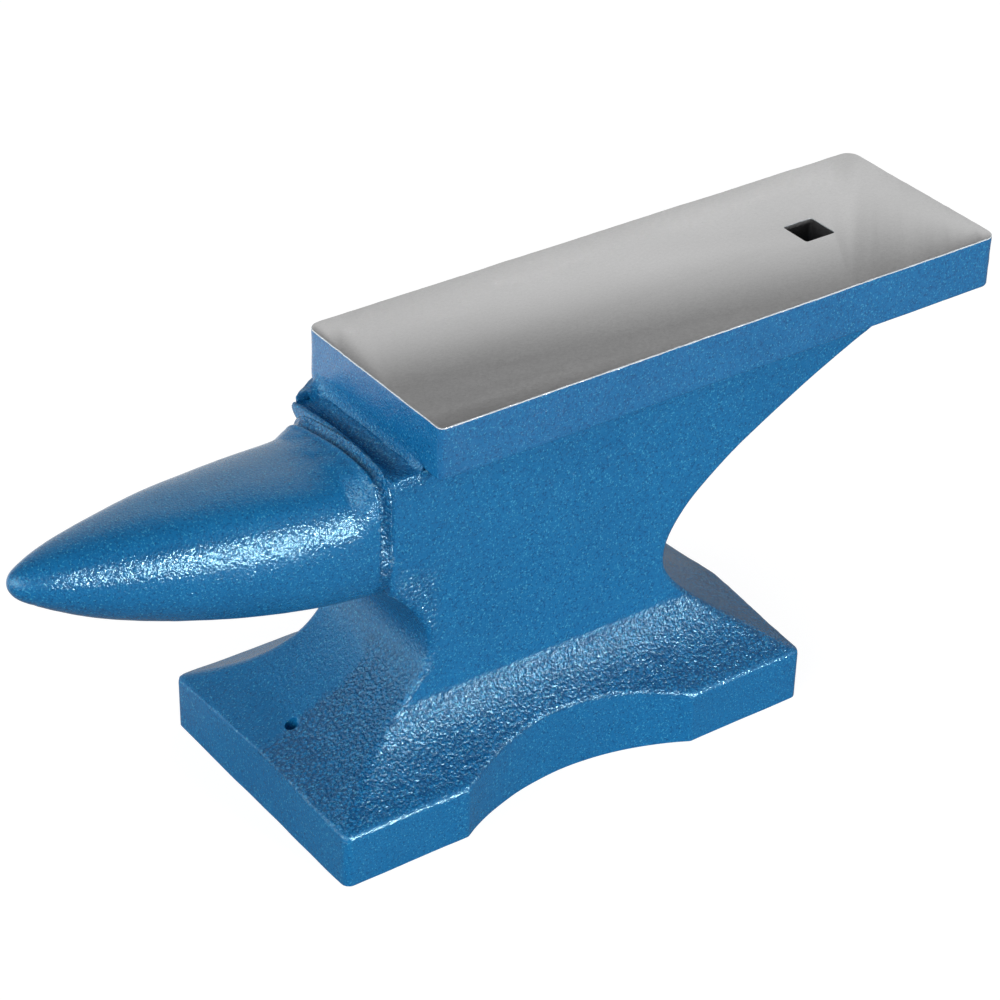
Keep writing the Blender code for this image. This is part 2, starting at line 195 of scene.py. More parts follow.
def rounded_rect(x0, x1, y0, y1, radii, z, spacing):
    """Counter-clockwise loop, about spacing apart all the way round."""
    pts = []
    corners = ((x1, y0, -90), (x1, y1, 0), (x0, y1, 90), (x0, y0, 180))
    for (cx, cy, a0), r in zip(corners, radii):
        mx = cx - r if cx == x1 else cx + r
        my = cy - r if cy == y1 else cy + r
        steps = max(4, round(r * math.pi / 2 / spacing))
        for k in range(steps + 1):
            a = math.radians(a0 + 90 * k / steps)
            pts.append(Vector((mx + r * math.cos(a), my + r * math.sin(a), z)))
    out = []
    for a, b in zip(pts, pts[1:] + pts[:1]):
        n = max(1, round((b - a).length / spacing))
        out += [a.lerp(b, k / n) for k in range(n)]
    return out


def get_co(ob):
    co = np.empty(len(ob.data.vertices) * 3, np.float32)
    ob.data.vertices.foreach_get("co", co)
    return co.reshape(-1, 3).astype(float)


def set_co(ob, co):
    ob.data.vertices.foreach_set("co", co.astype(np.float32).ravel())
    ob.data.update()


def get_normals(ob):
    n = np.empty(len(ob.data.vertices) * 3, np.float32)
    ob.data.vertex_normals.foreach_get("vector", n)
    return n.reshape(-1, 3).astype(float)


def edges_of(ob):
    e = np.empty(len(ob.data.edges) * 2, np.int32)
    ob.data.edges.foreach_get("vertices", e)
    return e.reshape(-1, 2)


def neighbour_mean(values, e):
    count = np.bincount(e.ravel(), minlength=len(values)).astype(float)
    out = np.empty_like(values)
    for k in range(values.shape[1]):
        out[:, k] = (np.bincount(e[:, 0], values[e[:, 1], k], len(values))
                     + np.bincount(e[:, 1], values[e[:, 0], k], len(values))) / np.maximum(count, 1)
    return out


def relax(co, e, times, weight=0.5):
    """Laplacian smoothing with the shrinkage put back (Taubin)."""
    weight = np.broadcast_to(np.asarray(weight, float), (len(co),))[:, None]
    for _ in range(times):
        co = co + weight * (neighbour_mean(co, e) - co)
        co = co - weight * 1.04 * (neighbour_mean(co, e) - co)
    return co


def soften(co, e, times, weight=0.5):
    weight = np.broadcast_to(np.asarray(weight, float), (len(co),))[:, None]
    for _ in range(times):
        co = co + weight * (neighbour_mean(co, e) - co)
    return co


def attribute(ob, name, values):
    a = ob.data.attributes.get(name) or ob.data.attributes.new(name, "FLOAT", "POINT")
    a.data.foreach_set("value", np.ascontiguousarray(values, np.float32))


def curvature(ob, rounds=2):
    """Convex edges above 0, hollows below, from the finished surface."""
    co, n, e = get_co(ob), get_normals(ob), edges_of(ob)
    c = ((co - neighbour_mean(co, e)) * n).sum(1)[:, None]
    for _ in range(rounds):
        c = 0.5 * c + 0.5 * neighbour_mean(c, e)
    return c[:, 0]


def finish_surface(ob, coarse=None, gain=1.0):
    c = curvature(ob) / (0.12 * MM) * gain
    if coarse is not None:
        attribute(ob, "coarse", np.broadcast_to(coarse, (len(ob.data.vertices),)))
    attribute(ob, "edge", np.clip(c, 0, 1))
    attribute(ob, "hollow", np.clip(-c, 0, 1))
    ob.data.shade_smooth()


# ------------------------------------------------------------------ horn section

def horn_axis(s):
    return HORN_TIP_Z + HORN_SLOPE * s + HORN_CURVE * s * s


HORN_LEN = HORN_LIP_X - HORN_TIP_X
ROOT_Z = horn_axis(HORN_LEN)
ROOT_HALF_Z = HORN_ROOT_HALF_Y / HORN_ROOT_FLAT


def oval_point(half_y, half_z, powers, cz, x, a, grow=0.0, lift=0.0):
    """Section point at angle a. The upper half has its own power and is taller by lift; on the far side the
    shoulder is rounder and lower."""
    c, s = math.cos(a), math.sin(a)
    if s > 0:
        far = float(smooth((c + 0.25) / 0.8))
        power = powers[0] + (powers[1] - powers[0]) * 0.62 * far
        lift = lift * (1 - 0.5 * far)
    else:
        power, lift = powers[1], 0.0
    m = (abs(c) ** power + abs(s) ** power) ** (-1.0 / power)
    return Vector((x, (half_y + grow) * c * m, cz + (half_z + grow + lift) * s * m))


def horn_powers(s):
    t = s / HORN_LEN
    b = float(smooth((s - HORN_LEN + HORN_COLLAR) / HORN_COLLAR))
    low = 2 + (HORN_ROOT_POW - 2) * t
    return low + (HORN_COLLAR_POW - HORN_ROOT_POW) * b, low


def horn_flare(s):
    return HORN_FLARE * max(0.0, (s - HORN_LEN + HORN_FLARE_LEN) / HORN_FLARE_LEN) ** 2.3


def horn_half(s):
    t = (s + HORN_AHEAD) / (HORN_LEN + HORN_AHEAD)
    bullet = HORN_ROOT_HALF_Y * (1 - (1 - t) ** HORN_POW_A) ** HORN_POW_B
    return bullet * math.sqrt(1 - math.exp(-s / HORN_NOSE))


def horn_underside(y):
    f = min(1.0, abs(y) / HORN_ROOT_HALF_Y)
    return ROOT_Z - ROOT_HALF_Z * (1 - f ** HORN_ROOT_POW) ** (1 / HORN_ROOT_POW)


# ------------------------------------------------------------------ body

def side_half(z):
    if z >= FLARE_TOP_SIDE:
        return WAIST_HALF_Y
    t = (FLARE_TOP_SIDE - z) / (FLARE_TOP_SIDE - FOOT_EDGE_Z)
    return WAIST_HALF_Y + (FOOT_HALF_Y - WAIST_HALF_Y) * min(1.0, t) ** 2.15


def horn_end(z):
    if z >= FLARE_TOP_HORN:
        return WAIST_X_HORN
    t = (FLARE_TOP_HORN - z) / (FLARE_TOP_HORN - FOOT_EDGE_Z)
    return WAIST_X_HORN - (WAIST_X_HORN + FOOT_HALF_X) * min(1.0, t) ** 1.85


def heel_end(z):
    if z < FLARE_TOP_HEEL:
        t = (FLARE_TOP_HEEL - z) / (FLARE_TOP_HEEL - FOOT_EDGE_Z)
        return WAIST_X_HEEL + (FOOT_HALF_X - WAIST_X_HEEL) * min(1.0, t) ** 1.55
    s = max(0.0, z - WEB_Z0)
    return WAIST_X_HEEL + WEB_A * s * s / (WEB_C + s)


FRONT_STEPS, HEEL_STEPS, CORNER_STEPS = 44, 30, 8


def body_ring(half_y, front, heel, corner):
    inner = half_y - corner
    pts = []
    for k in range(CORNER_STEPS):
        a = math.radians(180 + 90 * k / CORNER_STEPS)
        x, z = front(-1)
        pts.append(Vector((x + corner + corner * math.cos(a), -inner + corner * math.sin(a), z)))
    x, z = front(-1)
    pts.append(Vector((x + corner, -half_y, z)))
    for k in range(CORNER_STEPS):
        a = math.radians(270 + 90 * k / CORNER_STEPS)
        x, z = heel(-1)
        pts.append(Vector((x - corner + corner * math.cos(a), -inner + corner * math.sin(a), z)))
    for k in range(HEEL_STEPS + 1):
        v = -1 + 2 * k / HEEL_STEPS
        x, z = heel(v)
        pts.append(Vector((x, v * inner, z)))
    for k in range(1, CORNER_STEPS + 1):
        a = math.radians(90 * k / CORNER_STEPS)
        x, z = heel(1)
        pts.append(Vector((x - corner + corner * math.cos(a), inner + corner * math.sin(a), z)))
    for k in range(CORNER_STEPS):
        a = math.radians(90 + 90 * k / CORNER_STEPS)
        x, z = front(1)
        pts.append(Vector((x + corner + corner * math.cos(a), inner + corner * math.sin(a), z)))
    for k in range(FRONT_STEPS):
        v = 1 - 2 * k / FRONT_STEPS
        x, z = front(v)
        pts.append(Vector((x, v * inner, z)))
    return pts


def tent(v):
    return 1 - abs(v) ** 1.25


def peak(v):
    return 1 - abs(v)


def body_rings():
    rings = []
    for z, inset, crown in ((-5 * MM, 0.0, 0.0), (FOOT_EDGE_R, 0.0, 0.0),
                            (FOOT_EDGE_Z - FOOT_EDGE_R * 0.6, 0.0, 1.0), (FOOT_EDGE_Z, FOOT_EDGE_R * 0.6, 1.0)):
        rings.append(body_ring(
            FOOT_HALF_Y - inset,
            lambda v, z=z, i=inset, c=crown: (-FOOT_HALF_X + i, z + c * FOOT_CROWN * peak(v)),
            lambda v, z=z, i=inset: (FOOT_HALF_X - 0.0062 - i + FOOT_PEAK * peak(v) + 0.0062, z),
            FOOT_CORNER_R - inset))
    count = 30
    for k in range(1, count + 1):
        f = (k / count) ** 1.35
        z = FOOT_EDGE_Z + (FLARE_TOP_SIDE - FOOT_EDGE_Z) * f
        corner = WAIST_CORNER_R + (FOOT_CORNER_R - WAIST_CORNER_R) * (1 - f)
        dip = FOOT_CROWN * max(0.0, 1 - 3 * f)
        rings.append(body_ring(
            side_half(z),
            lambda v, z=z, d=dip: (horn_end(z) - RIDGE * tent(v), z + d * peak(v)),
            lambda v, z=z, f=f: (heel_end(z) + FOOT_PEAK * (1 - 0.45 * f) * peak(v), z),
            corner))
    count = 14
    for k in range(1, count + 1):
        f = k / count
        z = FLARE_TOP_SIDE + (FLARE_TOP_HORN - FLARE_TOP_SIDE) * f
        rings.append(body_ring(
            WAIST_HALF_Y,
            lambda v, z=z: (horn_end(z) - RIDGE * tent(v), z),
            lambda v, z=z, f=f: (heel_end(z) + FOOT_PEAK * (0.55 - 0.28 * f) * peak(v), z),
            WAIST_CORNER_R))
    inner = WAIST_HALF_Y - WAIST_CORNER_R

    def throat_top(v):
        return min(THROAT_TOP, horn_underside(v * inner) - 1.0 * MM)

    count = 26
    for k in range(1, count + 1):
        s = k / count
        side_z = FLARE_TOP_HORN + (THROAT_TOP - FLARE_TOP_HORN) * s

        def front(v, s=s):
            z = FLARE_TOP_HORN + (throat_top(v) - FLARE_TOP_HORN) * s
            reach = s ** 1.9
            return WAIST_X_HORN + (FRONT_X - WAIST_X_HORN) * reach - RIDGE * tent(v) * (1 - reach), z

        rings.append(body_ring(
            WAIST_HALF_Y, front,
            lambda v, z=side_z, s=s: (heel_end(z) + FOOT_PEAK * 0.27 * (1 - s) * peak(v), z),
            WAIST_CORNER_R))
    count = 34
    for k in range(1, count + 1):
        s = k / count
        side_z = THROAT_TOP + (BODY_TOP - THROAT_TOP) * s

        def front(v, s=s):
            return FRONT_X, throat_top(v) + (BODY_TOP - throat_top(v)) * s

        rings.append(body_ring(WAIST_HALF_Y, front, lambda v, z=side_z: (heel_end(z), z), WAIST_CORNER_R))
    return rings


def hardy_cutter(z0, z1):
    h = HARDY_SIDE / 2
    return mesh_object("cutter", skin([rounded_rect(HARDY_X - h, HARDY_X + h, -h, h, (HARDY_R,) * 4, z, 1.2 * MM)
                                       for z in (z0, z1)]))


def build_body():
    body = mesh_object("enamel_body", skin(body_rings()))
    tools = []
    for sign in (-1, 1):
        y = sign * (FOOT_HALF_Y - ARCH_DEPTH + ARCH_R)
        tools.append(cylinder(ARCH_R, Vector((0, y, -5 * MM)), Vector((0, y, 60 * MM)), 360))
    z = BODY_TOP - DISH_DEPTH + DISH_R
    tools.append(cylinder(DISH_R, Vector((DISH_X, -60 * MM, z)), Vector((DISH_X, 60 * MM, z)), 120))
    tools.append(cylinder(TENON_R + 0.3 * MM, Vector((FRONT_X - 6 * MM, 0, ROOT_Z)),
                          Vector((FRONT_X + TENON_LEN + 1.0 * MM, 0, ROOT_Z)), 64))
    tools.append(hardy_cutter(100 * MM, BODY_TOP + 10 * MM))
    cut(body, tools)
    voxel(body, 1.28 * MM)
    co, e = get_co(body), edges_of(body)
    co = relax(co, e, 2, 0.5)
    # flares keep a crisp edge at the foot; the throat and the waist flow into each other
    x, y, z = co.T
    flow = band(z, 0.045, 0.062, 0.115, 0.13) * (x < -0.05)
    co = soften(co, e, 5, 0.45 * flow)
    set_co(body, co)
    # table: a rounded, crowned rib along the front edge and a deeper channel behind it
    x, y, z = co.T
    top = smooth((z - 0.160) / 0.010)
    across = np.clip(np.abs(y) / WAIST_HALF_Y, 0, 1)
    crown = -1.3 * MM + 3.9 * MM * (1 - across ** 1.8) + 0.9 * MM * smooth(y / 0.038)
    rib = np.exp(-np.abs((x + 0.0787) / 0.0021) ** 2.4)
    channel = np.exp(-((x + 0.0728) / 0.0036) ** 2) * smooth((0.034 - np.abs(y)) / 0.012)
    co[:, 2] += top * (rib * crown - channel * 0.9 * MM)
    near_edge = smooth((-y - 0.030) / 0.0084) * (x < -0.060) * (x > -0.0775)
    co[:, 2] += top * near_edge * np.clip(BODY_TOP - 1.2 * MM - co[:, 2], -0.6 * MM, 1.0 * MM)
    corner = smooth((y - 0.030) / 0.006) * smooth((-0.0705 - x) / 0.006)
    co[:, 1] += corner * (2.0 * MM * np.exp(-((z - 0.1690) / 0.0030) ** 2) - 2.1 * MM * np.exp(-((z - 0.1620) / 0.0030) ** 2))
    co[:, 0] += smooth((y - 0.026) / 0.010) * (x < -0.074) * 1.1 * MM * np.exp(-((z - 0.1620) / 0.0030) ** 2)
    set_co(body, co)
    n = get_normals(body)
    x, y, z = co.T
    nz = n[:, 2]
    # where the casting is coarse: the flares, most on the near half, little on the smooth half of the horn end
    flare = band(z, 0.024, 0.029, 0.055, 0.075) * smooth((nz - 0.02) / 0.25)
    horn_side = smooth((-0.052 - x) / 0.01)
    smooth_half = horn_side * smooth((y + 0.004 + 0.004 * vnoise(co, 9 * MM, 3)) / 0.004)
    column = horn_side * band(z, 0.06, 0.07, 0.115, 0.13)
    channel = top * (x < -0.064) * 0.6
    coarse = np.clip(flare * (1 - 0.8 * smooth_half) + 0.5 * column + channel, 0, 1)
    socket = (x > FRONT_X - 1 * MM) & (x < FRONT_X + 25 * MM) & (np.hypot(y, z - ROOT_Z) < 22 * MM) & (z < 0.165)
    free = ~(socket | (z > BODY_TOP - 0.4 * MM) & (x > -0.066))
    d = (0.26 * MM * vnoise(co, 34 * MM, 1) + 0.12 * MM * vnoise(co, 13 * MM, 2)
         + (0.03 * MM + 0.07 * MM * coarse) * vnoise(co, 5.0 * MM, 4)
         + 0.06 * MM * coarse * vnoise(co, 2.9 * MM, 5))
    d = np.where(free, d - 0.10 * MM, 0.0)
    set_co(body, co + n * d[:, None])
    attribute(body, "coarse", coarse)
    finish_surface(body)
    below = mesh_object("cutter", skin([rounded_rect(-0.3, 0.3, -0.2, 0.2, (5 * MM,) * 4, z, 0.1) for z in (-30 * MM, 0.0)]))
    cut(body, [cylinder(SPIKE_HOLE_R, Vector((SPIKE_HOLE_X, 0, -5 * MM)), Vector((SPIKE_HOLE_X, 0, 70 * MM)), 40), below])
    body.data.shade_smooth()
    body.data.set_sharp_from_angle(angle=math.radians(60))
    return body


# ------------------------------------------------------------------ horn

def build_horn():
    count = 216
    rings, rows = [], []
    steps = 300
    for k in range(1, steps + 1):
        t = (k / steps) ** 1.45
        s = HORN_LEN * t
        half_y = horn_half(s)
        half_z = half_y / (1 + (HORN_ROOT_FLAT - 1) * math.sqrt(t) ** 2)
        bead = math.exp(-((s - HORN_LEN + 1.0 * MM) / (1.0 * MM)) ** 2)
        pts = []
        for j in range(count):
            a = 2 * math.pi * j / count
            grow = 0.45 * MM * bead * max(0.0, math.sin(a)) ** 0.6 - 0.15 * MM
            pts.append(oval_point(half_y, half_z, horn_powers(s), horn_axis(s), HORN_TIP_X + s, a, grow * min(1.0, s / 0.006),
                                  horn_flare(s)))
        rings.append(pts)
    back = FRONT_X - 0.3 * MM
    for x, g in ((HORN_LIP_X + 0.25 * MM, -0.5), (HORN_LIP_X + 0.3 * MM, -1.4), (HORN_LIP_X + 0.3 * MM, -REBATE / MM), (back, -REBATE / MM)):
        rings.append([oval_point(HORN_ROOT_HALF_Y, ROOT_HALF_Z, horn_powers(HORN_LEN), ROOT_Z, x,
                                 2 * math.pi * j / count, g * MM, HORN_FLARE) for j in range(count)])
    for x, r in ((back, TENON_R), (back + TENON_LEN - 1.5 * MM, TENON_R), (back + TENON_LEN, TENON_R - 1.5 * MM)):
        rings.append([oval_point(r, r, (2, 2), ROOT_Z, x, 2 * math.pi * j / count) for j in range(count)])
    bm = bmesh.new()
    loops = [[bm.verts.new(p) for p in ring] for ring in rings]
    tip = bm.verts.new((HORN_TIP_X, 0, HORN_TIP_Z))
    for j in range(count):
        i = (j + 1) % count
        bm.faces.new((tip, loops[0][j], loops[0][i]))
        for a, b in zip(loops, loops[1:]):
            bm.faces.new((a[j], b[j], b[i], a[i]))
    bm.faces.new(loops[-1])
    horn = mesh_object("enamel_horn", bm)
    co, n = get_co(horn), get_normals(horn)
    x, y, z = co.T
    outer = x < HORN_LIP_X + 0.1 * MM
    s = x - HORN_TIP_X
    amount = smooth(s / (12 * MM))
    lower = smooth((-n[:, 2] + 0.1) / 0.5)
    streak = band(n[:, 2], 0.1, 0.25, 0.6, 0.8) * smooth(-n[:, 1] / 0.3)
    far_edge = smooth((n[:, 1] - 0.25) / 0.3)
    coarse = np.clip(0.35 * lower + 0.55 * streak + 0.3 * far_edge, 0, 1) * smooth(s / (22 * MM))
    d = (0.24 * MM * vnoise(co, 30 * MM, 11) + 0.11 * MM * vnoise(co * np.array([0.5, 1, 1]), 9 * MM, 12)
         + (0.02 * MM + 0.06 * MM * coarse) * vnoise(co, 4.6 * MM, 13)
         + 0.05 * MM * coarse * vnoise(co, 2.6 * MM, 14)) * amount - 0.1 * MM * amount
    # the hollow rise to the collar is rougher; a faint flat and crease behind the nose
    d += 0.16 * MM * vnoise(co, 4.2 * MM, 16) * smooth((s - HORN_LEN + 20 * MM) / (12 * MM)) * smooth(n[:, 2] / 0.3)
    line = s - 8.6 * MM - 1.6 * MM * vnoise(co, 9 * MM, 15)
    d -= 0.13 * MM * np.exp(-(line / (0.9 * MM)) ** 2) * smooth((0.75 - n[:, 2]) / 0.3)
    set_co(horn, co + n * np.where(outer, d, 0)[:, None])
    finish_surface(horn, coarse, 2.0)
    return horn


def build_horn_weld():
    count = 260
    x0, x1 = HORN_LIP_X + 0.26 * MM, FRONT_X - 0.3 * MM
    rings = []
    across = 16
    for k in range(count):
        a = 2 * math.pi * k / count
        up = max(0.0, math.sin(a))
        far = float(smooth((math.cos(a) + 0.05) / 0.6))
        depth = (0.25 + 2.9 * up ** 0.45 * (1 - 0.8 * far)) * MM
        section = [oval_point(HORN_ROOT_HALF_Y, ROOT_HALF_Z, horn_powers(HORN_LEN), ROOT_Z, x0, a, -REBATE + 0.3 * MM,
                              HORN_FLARE)]
        for j in range(across + 1):
            f = j / across
            rise = (-0.35 * (1 - f) + 1.9 * f * up ** 0.7 + 0.25 * f) * MM
            grow = rise - depth * math.sin(math.pi * (0.08 + f * 0.92)) ** 0.8
            section.append(oval_point(HORN_ROOT_HALF_Y, ROOT_HALF_Z, horn_powers(HORN_LEN), ROOT_Z,
                                      x0 + (x1 + 0.5 * MM - x0) * f, a, max(grow, -REBATE + 0.5 * MM), HORN_FLARE))
        side = 1 - up ** 0.5
        for ahead, flush, under in ((2.2, 0.1, 1.5), (4.0, 0.8, 2.0)):
            section.append(oval_point(HORN_ROOT_HALF_Y, ROOT_HALF_Z, horn_powers(HORN_LEN), ROOT_Z,
                                      FRONT_X + (0.25 + ahead * side) * MM, a,
                                      (0.2 * (ahead < 3) * side - flush * side * (ahead > 3) - under * (1 - side)) * MM,
                                      HORN_FLARE))
        section.append(oval_point(HORN_ROOT_HALF_Y, ROOT_HALF_Z, horn_powers(HORN_LEN), ROOT_Z, x1 + 0.1 * MM, a,
                                  -REBATE + 0.3 * MM, HORN_FLARE))
        rings.append(section)
    weld = mesh_object("enamel_horn_weld", skin(rings, closed_path=True))
    co, n = get_co(weld), get_normals(weld)
    f = smooth((co[:, 0] - x0) / (0.5 * MM)) * smooth((x1 - co[:, 0]) / (0.5 * MM))
    d = (0.20 * MM * vnoise(co, 5 * MM, 21) + 0.16 * MM * vnoise(co, 2.4 * MM, 22)) * f
    set_co(weld, co + n * d[:, None])
    finish_surface(weld, np.full(len(co), 0.8), 0.6)
    return weld


# ------------------------------------------------------------------ face plate

PLATE_RADII = (6.5 * MM, 6.5 * MM, 6.5 * MM, 3.0 * MM)


def build_plate():
    x0, x1, y0, y1, z0, z1 = PLATE_LO.x, PLATE_HI.x, PLATE_LO.y, PLATE_HI.y, PLATE_LO.z, PLATE_HI.z
    levels = []
    for k in range(5):
        a = math.radians(90 * k / 4)
        levels.append((z0 + 1.0 * MM * (1 - math.cos(a)) if k else z0, 1.0 * MM * (1 - math.sin(a))))
    count = 20
    for k in range(1, count + 1):
        levels.append((z0 + 1.0 * MM + (z1 - z0 - 1.45 * MM) * k / count, 0.0))
    levels += [(z1 - 0.2 * MM, 0.1 * MM), (z1, 0.42 * MM)]
    base = rounded_rect(x0, x1, y0, y1, PLATE_RADII, z0, 1.1 * MM)
    flat = np.array([[p.x, p.y] for p in base])
    tangent = np.roll(flat, -1, 0) - np.roll(flat, 1, 0)
    tangent /= np.linalg.norm(tangent, axis=1)[:, None]
    outward = np.stack([tangent[:, 1], -tangent[:, 0]], 1)
    rings = []
    for z, inset in levels:
        p = np.column_stack([flat - outward * inset, np.full(len(flat), z)])
        mid = float(smooth((z - z0) / (1.2 * MM)) * smooth((z1 - z) / (1.0 * MM)))
        d = -0.18 * MM + 0.22 * MM * vnoise(p, 30 * MM, 31) + 0.12 * MM * vnoise(p, 9 * MM, 32)
        d = d + mid * (0.07 * MM * vnoise(p, 4 * MM, 33) + 0.05 * MM * vnoise(p, 2.4 * MM, 34))
        if z > z1 - 0.3 * MM:
            d = d + 0.10 * MM * vnoise(p, 3.2 * MM, 35)
        p[:, :2] += outward * d[:, None]
        rings.append([Vector(q) for q in p])
    plate = mesh_object("enamel_plate", skin(rings))
    cut(plate, [hardy_cutter(z0 - 10 * MM, z1 + 10 * MM)])
    attribute(plate, "coarse", np.zeros(len(plate.data.vertices)))
    attribute(plate, "edge", np.zeros(len(plate.data.vertices)))
    attribute(plate, "hollow", np.zeros(len(plate.data.vertices)))
    plate.data.shade_smooth()
    plate.data.set_sharp_from_angle(angle=math.radians(38))
    return plate


# ------------------------------------------------------------------ beads

def fillet_strip(name, stations, out, up, seed, steps=10, fatness=0.88):
    rings = []
    for p, lo, lu in stations:
        section = [p - out * 0.25 * MM - up * 0.2 * MM, p + out * lo - up * 0.2 * MM, p + out * lo]
        for j in range(1, steps):
            a = math.radians(90 * j / steps)
            section.append(p + out * lo * (1 - fatness * math.sin(a)) + up * lu * (1 - fatness * math.cos(a)))
        section += [p + up * lu, p - out * 0.25 * MM + up * lu]
        rings.append(section)
    ob = mesh_object(name, skin(rings))
    co, n = get_co(ob), get_normals(ob)
    d = 0.22 * MM * vnoise(co, 7 * MM, seed) + 0.14 * MM * vnoise(co, 3 * MM, seed + 1)
    set_co(ob, co + n * d[:, None])
    finish_surface(ob, np.full(len(co), 0.5), 1.0)
    return ob


def far_flare(x):
    """How far the table stands out on the far side at x, in front of the plate."""
    f = np.clip((x - FAR_LO.x) / (16 * MM), 0, 1)
    return (0.8 + 9.7 * f ** 1.1) * MM


def channel_z(x, y):
    dx = x - DISH_X
    z = BODY_TOP
    if abs(dx) < 7.24 * MM:
        z = BODY_TOP - DISH_DEPTH + DISH_R - math.sqrt(DISH_R ** 2 - dx ** 2)
    z -= 0.9 * MM * math.exp(-((x + 0.0728) / 0.0036) ** 2) * float(smooth((0.034 - abs(y)) / 0.012))
    return z


def build_beads():
    beads = []
    down = Vector((0, 0, -1))
    z = BODY_TOP
    x0, x1 = PLATE_LO.x - 0.6 * MM, NEAR_HI.x
    count = round((x1 - x0) / (1.3 * MM))
    near = []
    for k in range(count + 1):
        f = k / count
        x = x0 + (x1 - x0) * f
        start = float(smooth((x - x0) / (6 * MM)))
        leg = 5.0 * MM * min(1.0, (1 - f) * 12 + 0.2)
        near.append((Vector((x, -WAIST_HALF_Y + 0.1 * MM, z + (0.25 - 0.9 * (1 - start)) * MM)),
                     leg * (0.25 + 0.75 * start), leg * (1 + 0.5 * (1 - start))))
    beads.append((fillet_strip("enamel_weld_near", near, Vector((0, -1, 0)), down, 41), "face_weld_right"))
    x0 = FAR_LO.x
    count = round((x1 - x0) / (1.3 * MM))
    far = []
    for k in range(count + 1):
        x = x0 + (x1 - x0) * k / count
        f = min(1.0, (x - x0) / (16 * MM))
        g = min(1.0, max(0.0, (x - x0 - 16 * MM) / (18 * MM)))
        out = float(far_flare(x)) + (5.0 - 10.5) * MM * g
        lu = (3.0 + 3.5 * f) * MM
        taper = min(1.0, (1 - k / count) * 12 + 0.2)
        rise = 0.9 * MM * float(smooth((x0 + 9 * MM - x) / (9 * MM)))
        round_end = math.sqrt(max(0.02, 1 - max(0.0, 1 - (x - x0) / (7.0 * MM)) ** 2))
        far.append((Vector((x + 1.2 * MM * (1 - round_end), WAIST_HALF_Y - 0.1 * MM, z - 0.1 * MM + rise * round_end)),
                    max(0.5 * MM, out * taper * round_end), lu * taper + rise + 1.5 * MM * (1 - f)))
    beads.append((fillet_strip("enamel_weld_far", far, Vector((0, 1, 0)), down, 44), "face_weld_left"))
    # front: a fillet from the channel up the plate's face, small at the near end and wide at the far end
    y0, y1 = -WAIST_HALF_Y - 0.5 * MM, WAIST_HALF_Y + 6.5 * MM
    count = round((y1 - y0) / (1.1 * MM))
    face = PLATE_LO.x + 0.15 * MM
    rings = []
    for k in range(count + 1):
        y = y0 + (y1 - y0) * k / count
        reach = (3.4 + 3.6 * float(smooth((y + WAIST_HALF_Y) / (7 * MM)))) * MM
        if y > WAIST_HALF_Y - 2 * MM:                               # over the far flare: only as wide as the flare
            out = max(0.0, y - WAIST_HALF_Y)
            edge = FAR_LO.x + 16 * MM * max(0.0, (out / MM - 0.8) / 9.7) ** 0.91
            reach = min(reach, max(0.9 * MM, (PLATE_LO.x - edge - 0.8 * MM) * 0.95))
        toe = face - reach
        on_table = float(smooth((y - WAIST_HALF_Y + 5 * MM) / (5 * MM)))
        toe_z = channel_z(toe, y) * (1 - on_table) + z * on_table - 0.12 * MM
        top_z = z + 0.95 * reach
        ctrl = (face - 0.02 * reach, toe_z + 0.10 * reach)
        section = [Vector((face, y, z - 0.8 * MM)), Vector((toe, y, toe_z - 0.7 * MM))]
        for j in range(17):
            t = j / 16
            section.append(Vector(((1 - t) ** 2 * toe + 2 * t * (1 - t) * ctrl[0] + t * t * face, y,
                                   (1 - t) ** 2 * toe_z + 2 * t * (1 - t) * ctrl[1] + t * t * top_z)))
        rings.append(section)
    front = mesh_object("enamel_weld_front", skin(rings))
    co, n = get_co(front), get_normals(front)
    mid = smooth((face - co[:, 0]) / (1.2 * MM))
    d = 0.16 * MM * vnoise(co, 8 * MM, 47) + 0.05 * MM * vnoise(co, 3 * MM, 48)
    set_co(front, co + n * (d * mid)[:, None])
    finish_surface(front, 0.3, 0.0)
    front.data.set_sharp_from_angle(angle=math.radians(40))
    beads.append((front, "face_weld_front"))
    return beads


# ------------------------------------------------------------------ materials

